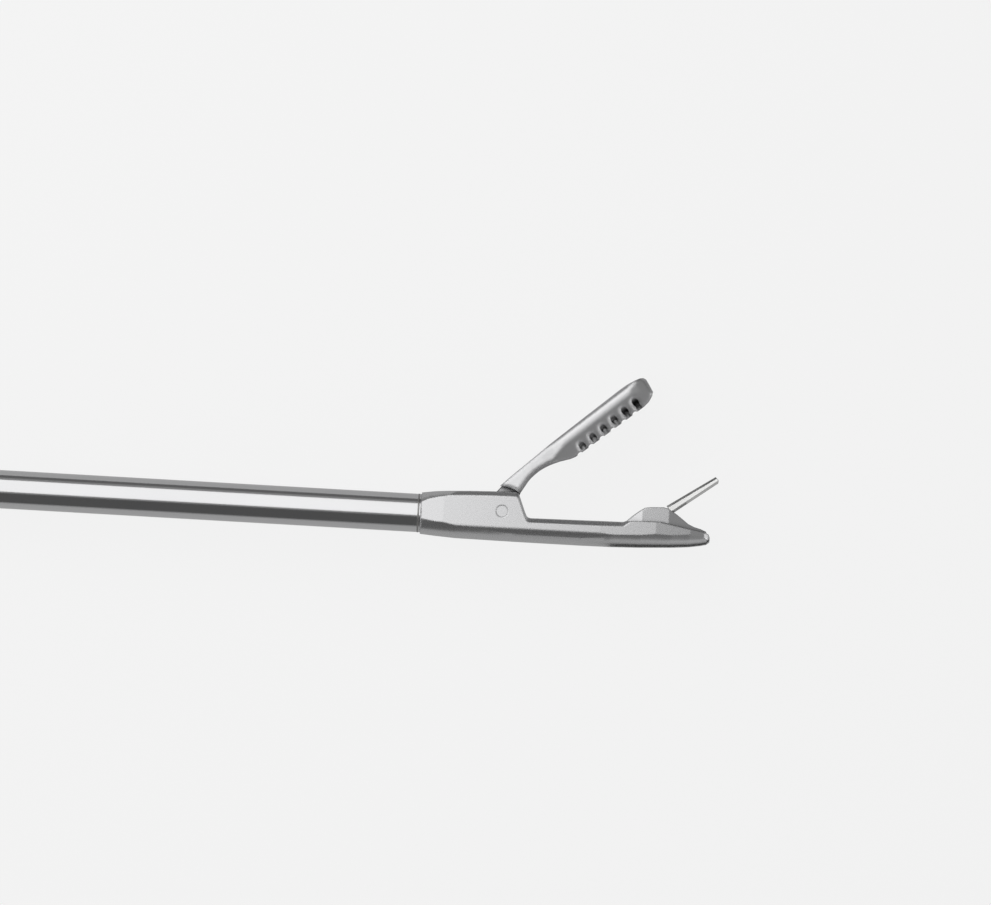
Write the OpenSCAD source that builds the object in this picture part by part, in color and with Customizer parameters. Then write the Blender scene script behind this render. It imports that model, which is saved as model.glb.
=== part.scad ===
// Suture passer: a long shaft with a fixed lower jaw, a hinged upper jaw and a needle that
// slides out of a hump near the tip of the lower jaw. It lies on its side on the XY plane.
// X runs along the shaft toward the tip, Y is the way the upper jaw opens, Z is up.
// The lever turns about an axis parallel to Z through X = 0.

/* [Shaft] */
// Outside diameter of the shaft tube
shaft_d = 4.5; // [4.3:0.1:4.7]
// Inside diameter of the shaft tube
shaft_bore = 3.7; // [3.7:0.05:3.9]
// Length of tube between the nose collar and the lower jaw
shaft_l = 160; // [100:5:240]
// Diameter of the rod that works the upper jaw
jaw_rod_d = 1.3; // [1.1:0.05:1.3]
// Diameter of the rod that works the needle
needle_rod_d = 1.1; // [0.9:0.05:1.1]

/* [Lower jaw] */
// Distance from the tube to the nose of the lower jaw
lower_l = 33.9; // [33.6:0.1:36]
// Width across the flats of the housing and jaw
jaw_w = 4.5; // [4.4:0.1:4.8]
// Height of the housing above the shaft axis
housing_top = 3.06; // [3.06:0.02:3.3]
// Depth of the jaw below the shaft axis
belly = 2.75; // [2.7:0.05:3]
// Height of the plain jaw face above the shaft axis, beside the housing
arm_top = 0.12; // [0:0.02:0.3]
// Height of the hump above the shaft axis
hump_top = 2.3; // [2:0.05:2.35]
// Width of the hump
hump_w = 3.5; // [3:0.1:3.9]

/* [Upper jaw] */
// Distance from the pivot to the end of the upper jaw
upper_l = 22.7; // [21.5:0.1:24]
// Width of the upper jaw
upper_w = 4.2; // [3.9:0.1:4.4]
// Angle of the biting face to the shaft, jaw open
open_angle = 39.8; // [34.5:0.1:45]
// Angle that the upper jaw closes through
close_angle = 34.5; // [25:0.5:34.5]
// Diameter of the jaw pivot pin
pivot_d = 1.3; // [1.1:0.1:1.4]
// Distance between teeth along the jaw
tooth_pitch = 1.6; // [1.5:0.05:1.8]
// Number of tooth notches on each side
tooth_count = 6; // [4:1:6]
// Radius of each tooth notch
notch_r = 0.4; // [0.32:0.02:0.44]
// Thickness of the tang inside the housing
tang_t = 1.5; // [1.3:0.1:1.6]

/* [Needle] */
// Thickness of the needle where it leaves the hump
needle_t = 1.12; // [0.9:0.02:1.2]
// Thickness of the needle at its end
needle_end_t = 0.8; // [0.6:0.05:0.9]
// Width of the needle
needle_w = 1.2; // [0.9:0.05:1.3]
// Angle of the needle to the shaft
needle_angle = 35.2; // [33:0.1:37]
// Length of needle that stands out of the hump
needle_out = 6.4; // [4.5:0.1:6.4]
// Thickness of the flexible strip behind the needle
strip_t = 0.4; // [0.3:0.05:0.45]

/* [Handle] */
// Thickness of the handle, which lies flat
handle_t = 12; // [12:0.5:15]
// Height of the handle body
body_h = 19; // [19:0.5:23]
// Length of the fixed grip, along its curve
grip_l = 92; // [70:1:105]
// Width of the fixed grip
grip_w = 13; // [11:0.5:15]
// Thickness of the lever and its ring
lever_t = 9; // [8:0.5:10]
// Width of the lever bar
lever_w = 8; // [7:0.5:9]
// Length of the lever from its axis to the ring's middle
lever_l = 62; // [55:1:66]
// Width of the finger opening
ring_w = 22; // [20:0.5:24]
// Length of the finger opening
ring_l = 46; // [38:1:50]
// Distance from the lever axis to the jaw rod
lever_arm = 4.5; // [4.4:0.1:4.8]

/* [Fits] */
// Gap on each side of a sliding or turning part
run_gap = 0.08; // [0.05:0.01:0.1]
// Gap on each side of a pin in its bore
pin_gap = 0.03; // [0.02:0.01:0.05]
// Gap between fixed pieces that are set into each other
seat_gap = 0.01; // [0.01:0.01:0.03]

/* [Hidden] */
$fn = 64;
eps = 0.01;
far = 60;

// Heights of the two rods in the shaft
jaw_rod_y = 0.95;
needle_rod_y = -1.05;
rest_h = handle_t / 2;

// Handle, along X
nose_l = 14;
collar_r = 5.8;
boss_r = 4;
hub_r = 4.6;
body_front = 22;
body_back = -46;
tube_back = 12;
tip_x = body_front + nose_l + shaft_l;
body_mid_y = -1;
body_r = 4;
grip_x = -34;
grip_edge = 4.5;
pocket_half = 2.8;
pocket_from = -40;
pocket_to = 12.5;
cover_plate = 2;
cover_screws_at = [[-42.1, 2.6], [14.6, -4.5]];
lever_y = jaw_rod_y - lever_arm;

// Housing and jaw pivot, from the end of the tube
pivot = [9.46, 0.79];
link_r = 1.7;
link_d = 0.7;
eye_r = 0.6;
eye_t = 0.6;
tang_slot = tang_t + 2 * run_gap;
tang_floor = -0.4;
shoulder_r = 2.9;
link_angle = 90 + close_angle / 2;
link = pivot + link_r * [cos(link_angle), sin(link_angle)];
rod_travel = 2 * link_r * sin(close_angle / 2);
squeeze = 2 * atan(rod_travel / 2 / lever_arm);
cross_x = -rod_travel / 2;

// Needle path: level in the shaft, then up through the hump
hump_mouth = [29.3, 2.22];
slant = [cos(needle_angle), sin(needle_angle)];
path_rise = (hump_mouth[1] - needle_rod_y) / slant[1];
corner_x = hump_mouth[0] - path_rise * slant[0];
needle_back = path_rise - 0.36;
bend_r = 6;
bend_run = bend_r * tan(needle_angle / 2);
strip_gap = strip_t / 2 + run_gap;
strip_start = -10;
needle_bevel = 0.28;

// Section of the lower jaw: a round belly about its own axis, between two flats
belly_y = -0.3;
belly_r = belly + belly_y;
corner_r = 1.17;
corner_y = -0.945;
// Top of the housing, jaw arm and nose, in X and Y
top_line = [
    [0, housing_top - 0.63], [1.6, housing_top - 0.4], [3, housing_top - 0.28],
    [5.6, housing_top - 0.14], [8.5, housing_top - 0.03], [11.05, housing_top],
    [11.24, housing_top - 0.08], [11.36, housing_top - 0.22], [11.75, 1.85], [12.16, 0.82],
    [12.42, 0.3], [12.62, arm_top + 0.05], [12.9, arm_top], [23.7, arm_top + 0.18],
    [25, 0.5], [28, 0.55], [29.4, 0.3], [31, 0], [lower_l - 0.5, -0.4],
    [lower_l - 0.15, -0.6], [lower_l, -0.95]
];
// Half width of the lower jaw along X, cut off by the flats between its two tapers
half_line = [
    [0, jaw_w / 2 - 0.13], [2.8, jaw_w / 2 + 0.01], [5, jaw_w / 2 + 0.2],
    [10, jaw_w / 2 + 0.2], [18, jaw_w / 2 + 0.055],
    [27.5, jaw_w / 2 - 0.12], [31.6, jaw_w / 2 - 0.38], [lower_l - 0.7, jaw_w / 2 - 0.75],
    [lower_l - 0.2, jaw_w / 2 - 1.1], [lower_l, jaw_w / 2 - 1.4]
];
// Width of the chamfer along the top edges, which runs out beside the hump
bevel_line = [[0, 0.5], [23.7, 0.5], [25, -0.25], [lower_l, -0.25]];
// Biting edge of the upper jaw's shank, along the jaw and above the biting face
shank_line = [
    [2.6, 0.3], [3.2, 0.47], [4, 0.75], [4.5, 0.93], [5, 1.05], [5.6, 1.12], [6.3, 1.15],
    [7, 1.08], [7.6, 0.98], [8.2, 0.82], [8.9, 0.6], [9.5, 0.35], [10, 0.14], [10.5, 0],
    [11.1, -0.08]
];
// Half width of the upper jaw: a narrow shank, a wider head and a blunt nose
jaw_line = [
    [1, 1.27], [2.9, 1.35], [5.6, 1.55], [7.4, 1.75], [9.2, 2.02], [10.6, upper_w / 2],
    [upper_l - 2.4, upper_w / 2], [upper_l - 1.2, upper_w / 2 - 0.17],
    [upper_l - 0.5, upper_w / 2 - 0.45], [upper_l, upper_w / 2 - 0.95]
];
shank_bevel = 0.4;
notch_tilt = 35;
flute_r = notch_r - 0.07;
cover_w = 2.2;
cover_t = 0.4;
cover_from = 13.1;
cover_to = 22.4;

// Needle slider in the back of the handle
slide_from = -32;
slide_len = 13;
screw_head = 5.6;
neck_len = 7;
neck_w = 3.2;
top_y = body_mid_y + body_h / 2;
body_bottom = body_mid_y - body_h / 2;
spring_x = -22;

// Puts children at the shaft's height above the table
module on_axis() {
    translate([0, 0, rest_h])
        children();
}

// Puts children at the joint between tube and lower jaw
module at_tip() {
    translate([tip_x, 0, rest_h])
        children();
}

// Raises a side outline from one Z to another
module slab(low, high) {
    translate([0, 0, low])
        linear_extrude(height = high - low)
            children();
}

// Raises a plan outline, drawn in X and Z, from one Y to another
module plan(low, high) {
    translate([0, high, 0])
        rotate([90, 0, 0])
            linear_extrude(height = high - low)
                children();
}

// Runs a section, drawn in Y and Z, along X
module along(from, to) {
    translate([from, 0, 0])
        rotate([90, 0, 90])
            linear_extrude(height = to - from)
                children();
}

// Turns an outline of [radius, X] about the X axis
module lathe(outline) {
    rotate([0, 90, 0])
        rotate_extrude()
            polygon(outline);
}

module pin_x(d, from, to) {
    translate([from, 0, 0])
        rotate([0, 90, 0])
            cylinder(d = d, h = to - from);
}

module pin_z(d, low, high) {
    translate([0, 0, low])
        cylinder(d = d, h = high - low);
}

module pin_y(d, low, high) {
    translate([0, high, 0])
        rotate([90, 0, 0])
            cylinder(d = d, h = high - low);
}

// Rectangle with rounded corners, centred
module round_rect(w, h, r) {
    square([w - 2 * r, h], center = true);
    square([w, h - 2 * r], center = true);
    for (x = [-1, 1], y = [-1, 1])
        translate([x * (w / 2 - r), y * (h / 2 - r)])
            circle(r = r);
}

// Bar with round ends between two points
module bar(a, b, w) {
    translate(a)
        rotate(atan2(b[1] - a[1], b[0] - a[0])) {
            translate([0, -w / 2])
                square([norm(b - a), w]);
            circle(d = w);
            translate([norm(b - a), 0])
                circle(d = w);
        }
}

// ---- Shaft ----

module shaft_tube() {
    color("silver")
        on_axis()
            difference() {
                pin_x(shaft_d, tube_back, tip_x);
                pin_x(shaft_bore, tube_back - 1, tip_x + 1);
            }
}

// Discs that keep the two rods straight inside the tube
module rod_guides() {
    color("dimgray")
        on_axis()
            for (x = [tip_x - 0.19 * shaft_l, tip_x - shaft_l / 2, tip_x - shaft_l])
                difference() {
                    pin_x(shaft_bore - 2 * seat_gap, x - 3, x + 3);
                    translate([0, jaw_rod_y, 0])
                        pin_x(jaw_rod_d + 2 * run_gap, x - 4, x + 4);
                    translate([0, needle_rod_y, 0])
                        pin_x(needle_rod_d + 2 * run_gap, x - 4, x + 4);
                }
}

// ---- Lower jaw ----

// Side outline of the housing ear, the jaw arm and the nose
module lower_side() {
    polygon(concat([[0, -4]], top_line, [[lower_l, -4]]));
}

// Half of the plan outline of the lower jaw
module lower_plan() {
    polygon(concat([[0, -0.1]], half_line, [[lower_l, -0.1]]));
}

// Section of the lower jaw, in Y and Z: two flats that round over into the belly
module lower_section() {
    mid_z = jaw_w / 2 - corner_r;
    turn = 30;
    for (side = [0, 1])
        mirror([0, side]) {
            translate([corner_y, mid_z])
                circle(r = corner_r);
            polygon([
                [4, -0.1], [4, jaw_w / 2], [corner_y, jaw_w / 2],
                [corner_y - corner_r * sin(turn), mid_z + corner_r * cos(turn)],
                [corner_y - corner_r * sin(turn) - 1.8 * cos(turn),
                    mid_z + corner_r * cos(turn) - 1.8 * sin(turn)],
                [-3.4, -0.1]
            ]);
        }
}

// Outline, seen along the chamfer, of what a chamfer on the top edge leaves
module lower_bevel() {
    polygon(concat(
        [[-1, -6]],
        [for (p = top_line)
            [p[0], (p[1] + min(jaw_w / 2, lookup(p[0], half_line)) - lookup(p[0], bevel_line))
                / sqrt(2)]],
        [[lower_l + 1, 0.5], [lower_l + 1, -6]]
    ));
}

// Round underside, turned about an axis a little below the shaft's
module lower_belly() {
    translate([0, belly_y, 0])
        lathe([
            [0, 0], [2.13, 0], [2.28, 1.9], [belly_r - 0.05, 4.1], [belly_r, 12],
            [belly_r, 19], [belly_r - 0.03, 22.3], [belly_r - 0.15, 25.8],
            [belly_r - 0.35, 29.4], [belly_r - 0.53, 31.5], [belly_r - 0.76, lower_l - 1],
            [belly_r - 0.92, lower_l - 0.35], [belly_r - 1.2, lower_l], [0, lower_l]
        ]);
}

// Upper side of the housing, round at the tube and growing out of reach of the flats
module lower_crown() {
    intersection() {
        lathe([
            [0, 0], [2.46, 0], [2.78, 0.9], [3.05, 2.2], [3.4, 4.6], [3.9, 8.5],
            [3.9, lower_l], [0, lower_l]
        ]);
        translate([0, belly_y, -far / 2])
            cube([far, far, far]);
    }
}

module hump_side() {
    polygon([
        [23.7, -1], [23.7, arm_top + 0.16], [24.1, arm_top + 0.33], [24.93, 1.2],
        [25.61, 1.72], [26.2, hump_top - 0.2], [26.8, hump_top - 0.08], [28.4, hump_top],
        [28.87, hump_top - 0.12], [29.84, 1.59], [30.58, 1.05], [31.31, 0.5], [32.03, 0.19],
        [32.75, 0], [33.4, -0.25], [33.6, -0.6], [33.6, -1]
    ]);
}

module hump_plan() {
    for (side = [0, 1])
        mirror([0, side])
            polygon([
                [23.7, -0.1], [23.7, hump_w / 2 - 0.85], [25.8, hump_w / 2],
                [29, hump_w / 2 - 0.09], [31, hump_w / 2 - 0.48], [32.6, hump_w / 2 - 0.75],
                [33.6, hump_w / 2 - 1], [33.6, -0.1]
            ]);
}

// Straight passage that the needle slides in, from below the channel to the hump's mouth
module needle_passage() {
    translate([corner_x, needle_rod_y, 0])
        rotate(needle_angle)
            translate([needle_back - needle_out - 0.1, -needle_t / 2 - run_gap, 0])
                slab(-needle_w / 2 - run_gap, needle_w / 2 + run_gap)
                    square([needle_out + 4, needle_t + 2 * run_gap]);
}

module lower_jaw() {
    color("lightsteelblue")
        at_tip()
            difference() {
                union() {
                    intersection() {
                        slab(-3, 3)
                            lower_side();
                        plan(-4, 4) {
                            lower_plan();
                            mirror([0, 1])
                                lower_plan();
                        }
                        along(-1, lower_l + 1)
                            lower_section();
                        rotate([45, 0, 0])
                            slab(-6, 6)
                                lower_bevel();
                        rotate([-45, 0, 0])
                            slab(-6, 6)
                                lower_bevel();
                        union() {
                            lower_belly();
                            lower_crown();
                        }
                    }
                    intersection() {
                        slab(-3, 3)
                            hump_side();
                        plan(-1, 4)
                            hump_plan();
                    }
                    pin_x(shaft_bore - 2 * seat_gap, -5, 0.5);
                }
                // Slot for the upper jaw's tang, open above and in front
                slab(-tang_slot / 2, tang_slot / 2)
                    translate([5.4, tang_floor])
                        square([7.4, 5]);
                translate(pivot)
                    pin_z(pivot_d + 2 * seat_gap, -3, 3);
                translate([0, jaw_rod_y, 0])
                    pin_x(jaw_rod_d + 2 * run_gap, -6, 6);
                // Needle channel, closed by the cover along the jaw arm
                slab(-needle_w / 2 - run_gap, needle_w / 2 + run_gap) {
                    translate([-6, needle_rod_y - strip_gap])
                        square([corner_x + 6, 2 * strip_gap]);
                    translate([cover_from, needle_rod_y])
                        square([cover_to - cover_from, 4]);
                    // Room for the strip where it bends upward
                    polygon([
                        [corner_x - bend_run - 0.2, needle_rod_y - strip_gap],
                        [corner_x + 1, needle_rod_y - strip_gap],
                        [corner_x + 1.6, 0.2], [corner_x - bend_run - 0.2, needle_rod_y + strip_gap]
                    ]);
                }
                slab(-cover_w / 2 - seat_gap, cover_w / 2 + seat_gap)
                    polygon([
                        [cover_from, arm_top - cover_t], [cover_to, arm_top - cover_t + 0.155],
                        [cover_to, 2], [cover_from, 2]
                    ]);
                needle_passage();
            }
}

// Lid welded over the needle channel, with a rib that keeps the strip from bowing
module channel_cover() {
    color("gainsboro")
        at_tip() {
            slab(-cover_w / 2, cover_w / 2)
                polygon([
                    [cover_from + seat_gap, arm_top - cover_t + seat_gap],
                    [cover_to - seat_gap, arm_top - cover_t + 0.155 + seat_gap],
                    [cover_to - seat_gap, arm_top + 0.155],
                    [cover_from + seat_gap, arm_top]
                ]);
            slab(-needle_w / 2, needle_w / 2)
                polygon([
                    [cover_from + seat_gap, needle_rod_y + strip_gap],
                    [cover_to - 1, needle_rod_y + strip_gap],
                    [cover_to - 1, arm_top - 0.1], [cover_from + seat_gap, arm_top - 0.1]
                ]);
        }
}

module jaw_pivot_pin() {
    color("gray")
        at_tip()
            translate(pivot)
                pin_z(pivot_d, -jaw_w / 2 + 0.02, jaw_w / 2 - 0.02);
}

// ---- Upper jaw ----

// Puts children at the jaw pivot with X along the biting face
module at_pivot() {
    at_tip()
        translate(pivot)
            rotate(open_angle)
                children();
}

// Side outline of the shank and head
module upper_side() {
    polygon(concat([[1.6, 2.5]], shank_line, [
        [upper_l - 2.1, -0.1], [upper_l - 1.3, 0.02], [upper_l - 0.6, 0.34],
        [upper_l - 0.22, 0.68], [upper_l - 0.08, 1.6], [upper_l, 2.3],
        [upper_l - 0.16, 2.66], [upper_l - 0.5, 2.86], [upper_l - 1.2, 3.03],
        [upper_l - 2.1, 3.15], [upper_l - 3, 3.18], [14, 3.06], [10, 2.96], [9, 2.93],
        [7, 2.82], [5, 2.72], [3, 2.62]
    ]));
}

// Half of the plan outline of the upper jaw
module upper_plan() {
    polygon(concat([[1, -0.1]], jaw_line, [[upper_l, -0.1]]));
}

// Section of the jaw, in the height above the biting face and Z: round back corners, sides
// that curve in toward the biting face, and a chamfer along each row of teeth
module upper_section() {
    back_r = 0.78;
    back_y = 2.4;
    back_z = upper_w / 2 - back_r;
    side_r = 2.9;
    draft = 18;
    for (z = [-1, 1])
        translate([back_y, z * back_z])
            circle(r = back_r);
    translate([back_y, -back_z])
        square([back_r, 2 * back_z]);
    for (side = [0, 1])
        mirror([0, side]) {
            intersection() {
                translate([back_y, upper_w / 2 - side_r])
                    circle(r = side_r);
                polygon([
                    [back_y, -0.1], [back_y, 3], [back_y - side_r * sin(draft), 3],
                    [back_y - side_r * sin(draft), -0.1]
                ]);
            }
            polygon([
                [back_y - 0.4, -0.1],
                [back_y - side_r * sin(draft) + 0.1, upper_w / 2 - side_r * (1 - cos(draft)) - 0.1],
                [back_y - side_r * sin(draft), upper_w / 2 - side_r * (1 - cos(draft))],
                [0.62, upper_w / 2 - 0.5], [-0.3, upper_w / 2 - 1], [-0.3, -0.1]
            ]);
        }
}

// Outline, seen along the chamfer, of what a chamfer on the shank's biting edge leaves
module upper_bevel() {
    polygon(concat(
        [[1, 6], [1, -0.6]],
        [for (p = shank_line)
            [p[0], (p[1] - lookup(p[0], jaw_line) + shank_bevel) / sqrt(2)]],
        [[11.6, -2.4], [upper_l + 1, -2.4], [upper_l + 1, 6]]
    ));
}

// The tang's outline, with its pivot boss and link boss
module tang_side() {
    link_at = link_r * [cos(link_angle - open_angle), sin(link_angle - open_angle)];
    circle(r = 1.15);
    translate(link_at)
        circle(r = 0.62);
    polygon([
        [0.35, -1.08], [3.4, 0.62], [3.4, 2.65], [link_at[0] + 0.1, link_at[1] + 0.61],
        [link_at[0] - 0.55, link_at[1] + 0.28], [-1.02, 0.5]
    ]);
}

module upper_jaw() {
    link_at = link_r * [cos(link_angle - open_angle), sin(link_angle - open_angle)];
    color("slategray")
        at_pivot()
            difference() {
                union() {
                    difference() {
                        intersection() {
                            slab(-3, 3)
                                upper_side();
                            plan(-1, 5) {
                                upper_plan();
                                mirror([0, 1])
                                    upper_plan();
                            }
                            translate([upper_l - 3, 0, 0])
                                rotate(0.7)
                                    along(-upper_l, 4)
                                        upper_section();
                            rotate([45, 0, 0])
                                slab(-6, 6)
                                    upper_bevel();
                            rotate([-45, 0, 0])
                                slab(-6, 6)
                                    upper_bevel();
                        }
                        pin_z(2 * shoulder_r, -3, 3);
                    }
                    slab(-tang_t / 2, tang_t / 2)
                        tang_side();
                }
                pin_z(pivot_d + 2 * pin_gap, -3, 3);
                translate(link_at)
                    pin_z(link_d + 2 * seat_gap, -3, 3);
                // Fork for the eye of the jaw rod
                slab(-eye_t / 2 - run_gap, eye_t / 2 + run_gap)
                    intersection() {
                        difference() {
                            circle(r = 3.3);
                            circle(r = 1);
                        }
                        polygon([[0, 0], [4, 2.9], [4, 5], [-5, 5], [-5, 1.8]]);
                    }
                // Slot that lets the needle through, open at the tip
                slab(-needle_w / 2 - 0.3, needle_w / 2 + 0.3)
                    translate([18.4, -1])
                        square([8, 6]);
                tooth_cuts();
            }
}

// Slanted pits down both sides of the biting face, each open to the face by a flute, and
// shallow grooves across the face between them
module tooth_cuts() {
    for (i = [0:tooth_count - 1]) {
        u = upper_l - 2.6 - i * tooth_pitch;
        v = 0.94 - 0.065 * i;
        for (side = [0, 1])
            mirror([0, 0, side])
                translate([u, v, upper_w / 2 - 0.42]) {
                    rotate([-notch_tilt, 0, 0])
                        pin_z(2 * notch_r, -0.62, 1);
                    translate([0, 0, -0.34])
                        pin_y(2 * flute_r, -2, 0);
                }
        translate([u - tooth_pitch / 2, -0.34, 0])
            pin_z(0.9, -3, 3);
    }
}

module jaw_link_pin() {
    color("gray")
        at_tip()
            translate(link)
                pin_z(link_d, -tang_t / 2, tang_t / 2);
}

// Rod with a flat eye; the eye's slot stands upright, so the pin can swing past the rod's line
module jaw_rod() {
    color("goldenrod")
        at_tip()
            union() {
                translate([0, jaw_rod_y, 0])
                    pin_x(jaw_rod_d, cross_x + 1.2 - tip_x, 7.1);
                slab(-eye_t / 2, eye_t / 2)
                    difference() {
                        union() {
                            polygon([
                                [5.6, jaw_rod_y - 0.5], [7.15, jaw_rod_y - 0.5], [7.3, 1.1],
                                [7.85, 1.75], [link[0], link[1] - 0.55],
                                [link[0] - 0.35, link[1] + 0.45], [7, 1.5], [5.6, 1.5]
                            ]);
                            translate(link)
                                circle(r = eye_r);
                        }
                        translate(link) {
                            circle(d = link_d + 2 * pin_gap);
                            translate([0, 0.1])
                                circle(d = link_d + 2 * pin_gap);
                            translate([-link_d / 2 - pin_gap, 0])
                                square([link_d + 2 * pin_gap, 0.1]);
                        }
                    }
            }
}

// ---- Jaw drive in the handle ----

// Block on the end of the jaw rod that carries the cross pin
module rod_block() {
    color("peru")
        on_axis()
            translate([cross_x, jaw_rod_y, 0])
                difference() {
                    slab(-0.95, 0.95)
                        round_rect(5.4, 2.1, 0.4);
                    pin_x(jaw_rod_d + 2 * seat_gap, 1.2, 4);
                    pin_z(1.4 + 2 * seat_gap, -2, 2);
                }
}

module cross_pin() {
    color("gray")
        on_axis()
            translate([cross_x, jaw_rod_y, 0])
                pin_z(1.4, -2.5, 2.5);
}

// Lever: a fork above, a bar, and a ring for the fingers
module jaw_lever() {
    ring_wall = 6;
    ring_r = ring_w / 2 + ring_wall / 2;
    straight = ring_l - ring_w;
    tilt = squeeze / 2;
    color("lightslategray")
        on_axis()
            translate([0, lever_y, 0])
                difference() {
                    union() {
                        // Fork cheeks and hub
                        slab(-pocket_half + 0.2, pocket_half - 0.2) {
                            circle(r = hub_r);
                            rotate(tilt)
                                translate([-2.2, 0])
                                    square([4.4, lever_arm + 2.2]);
                            bar([0, 0], [4, -14], lever_w);
                        }
                        // Bar below the body
                        slab(-lever_t / 2, lever_t / 2)
                            bar([3.6, -12.5], [8, -lever_l + ring_l / 2 + ring_wall - 2], lever_w);
                        translate([9, -lever_l, 0])
                            finger_ring(ring_r, ring_wall, straight);
                    }
                    // Gap between the cheeks, which clears both rods
                    slab(-1.15, 1.15)
                        translate([-far / 2, -4.3])
                            square([far, 20]);
                    rotate(tilt)
                        slab(-3, 3)
                            translate([-0.7 - pin_gap, lever_arm - 1.4])
                                square([1.4 + 2 * pin_gap, 6]);
                    pin_z(3 + 2 * pin_gap, -far, far);
                }
}

// Ring with rounded edges: two half turns joined by straight sides
module finger_ring(radius, wall, straight) {
    edge = 2.4;
    for (side = [0, 1])
        mirror([0, side])
            translate([0, straight / 2, 0])
                rotate_extrude(angle = 180)
                    translate([radius, 0])
                        round_rect(wall, lever_t, edge);
    for (x = [-1, 1])
        translate([x * radius, straight / 2, 0])
            rotate([90, 0, 0])
                linear_extrude(height = straight)
                    round_rect(wall, lever_t, edge);
}

module lever_washers() {
    color("khaki")
        on_axis()
            translate([0, lever_y, 0])
                for (z = [-pocket_half + 0.05, pocket_half - 0.15])
                    difference() {
                        pin_z(7, z, z + 0.1);
                        pin_z(3.1, z - 1, z + 1);
                    }
}

// Shoulder screw that the lever turns on; its head is set into the cover
module lever_screw() {
    color("gray")
        on_axis()
            translate([0, lever_y, 0])
                difference() {
                    union() {
                        pin_z(3, -rest_h + 1, rest_h - 1.6);
                        pin_z(screw_head, rest_h - 1.7, rest_h - 0.2);
                    }
                    translate([0, 0, rest_h - 0.9])
                        rotate(30)
                            slab(0, 2)
                                square([8, 1], center = true);
                }
}

// ---- Handle ----

// Fixed grip: a rounded bar swept along an arc, with a round pommel
module grip() {
    grip_r = 170;
    sweep = grip_l / grip_r * 180 / PI;
    start = 160;
    translate([grip_x - grip_r * cos(start), -4 - grip_r * sin(start), 0]) {
        rotate(start)
            rotate_extrude(angle = sweep)
                translate([grip_r, 0])
                    round_rect(grip_w, handle_t, grip_edge);
        rotate(start + sweep)
            translate([grip_r, 0, 0])
                rotate_extrude()
                    intersection() {
                        round_rect(grip_w + 2.4, handle_t, grip_edge);
                        translate([0, -handle_t])
                            square(2 * handle_t);
                    }
    }
}

module handle_body() {
    color("steelblue")
        on_axis()
            difference() {
                union() {
                    intersection() {
                        along(body_back, body_front)
                            translate([body_mid_y, 0])
                                round_rect(body_h, handle_t, body_r);
                        slab(-rest_h, rest_h)
                            translate([(body_front + body_back) / 2, body_mid_y])
                                round_rect(body_front - body_back, body_h, 7);
                    }
                    grip();
                    pin_x(2 * boss_r, 15, body_front + 3);
                }
                // Room for the lever, the block and the slider
                slab(-pocket_half, rest_h)
                    pocket_outline();
                slab(-pocket_half, pocket_half)
                    translate([-9, -far + body_mid_y])
                        square([22, far]);
                // Window above for the slider's neck
                slab(-neck_w / 2 - run_gap, neck_w / 2 + run_gap)
                    translate([slide_from + 3 - needle_out - 0.3, 0])
                        square([neck_len + needle_out + 0.6, far]);
                pin_x(shaft_d + 2 * seat_gap, tube_back, far);
                pin_x(shaft_bore, 0, tube_back + 1);
                // Assembly hole at the back, closed by the plug
                translate([0, needle_rod_y, 0])
                    pin_x(5, body_back - 1, -30);
                translate([0, lever_y, 0])
                    pin_z(3 + 2 * seat_gap, -rest_h + 1 - seat_gap, 0);
                slab(rest_h - cover_plate - seat_gap, far)
                    cover_outline(0);
                for (p = cover_screws_at)
                    translate([p[0], p[1], 0])
                        pin_z(2 + 2 * seat_gap, rest_h - cover_plate - 2.2, far);
                spring_seat();
            }
}

// Outline of the pocket in the handle's upper side, smaller by the given gap
module pocket_outline(gap = 0) {
    translate([(pocket_from + pocket_to) / 2, body_mid_y])
        round_rect(pocket_to - pocket_from - 2 * gap, 11 - 2 * gap, 3 - gap);
}

// Outline of the cover's flange, which laps over both ends of the pocket
module cover_outline(gap = 0) {
    translate([(pocket_from + pocket_to) / 2, body_mid_y])
        round_rect(pocket_to - pocket_from + 8.6 - 2 * gap, 11.6 - 2 * gap, 3.3 - gap);
}

module handle_cover() {
    color("cadetblue")
        on_axis()
            difference() {
                union() {
                    slab(pocket_half + seat_gap, rest_h - cover_plate + eps)
                        pocket_outline(seat_gap);
                    slab(rest_h - cover_plate, rest_h)
                        cover_outline(seat_gap);
                }
                for (p = cover_screws_at)
                    translate([p[0], p[1], 0]) {
                        pin_z(2 + 2 * seat_gap, 0, far);
                        pin_z(3.2 + 2 * seat_gap, rest_h - 1.2 - seat_gap, far);
                    }
                translate([0, lever_y, 0]) {
                    pin_z(3 + 2 * seat_gap, 0, far);
                    pin_z(screw_head + 2 * seat_gap, rest_h - 1.7 - seat_gap, far);
                }
            }
}

module cover_screws() {
    color("gray")
        on_axis()
            for (p = cover_screws_at)
                translate([p[0], p[1], 0])
                    difference() {
                        union() {
                            pin_z(2, rest_h - cover_plate - 2, rest_h - 1);
                            pin_z(3.2, rest_h - 1.2, rest_h - 0.2);
                        }
                        slab(rest_h - 0.7, rest_h)
                            square([6, 0.7], center = true);
                    }
}

// Collar that holds the tube in the handle's nose
module nose_collar() {
    color("lightgray")
        on_axis()
            difference() {
                lathe([
                    [0, body_front], [5.4, body_front], [collar_r, body_front + 0.4],
                    [collar_r, body_front + 5], [4.8, body_front + 7], [3.7, body_front + nose_l - 0.6],
                    [3.2, body_front + nose_l], [0, body_front + nose_l]
                ]);
                pin_x(shaft_d + 2 * seat_gap, 0, far);
                pin_x(2 * boss_r + 2 * seat_gap, 0, body_front + 3 + seat_gap);
                translate([body_front + 6, 0, 0])
                    pin_y(1.6 + 2 * seat_gap, 0, far);
            }
}

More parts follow.
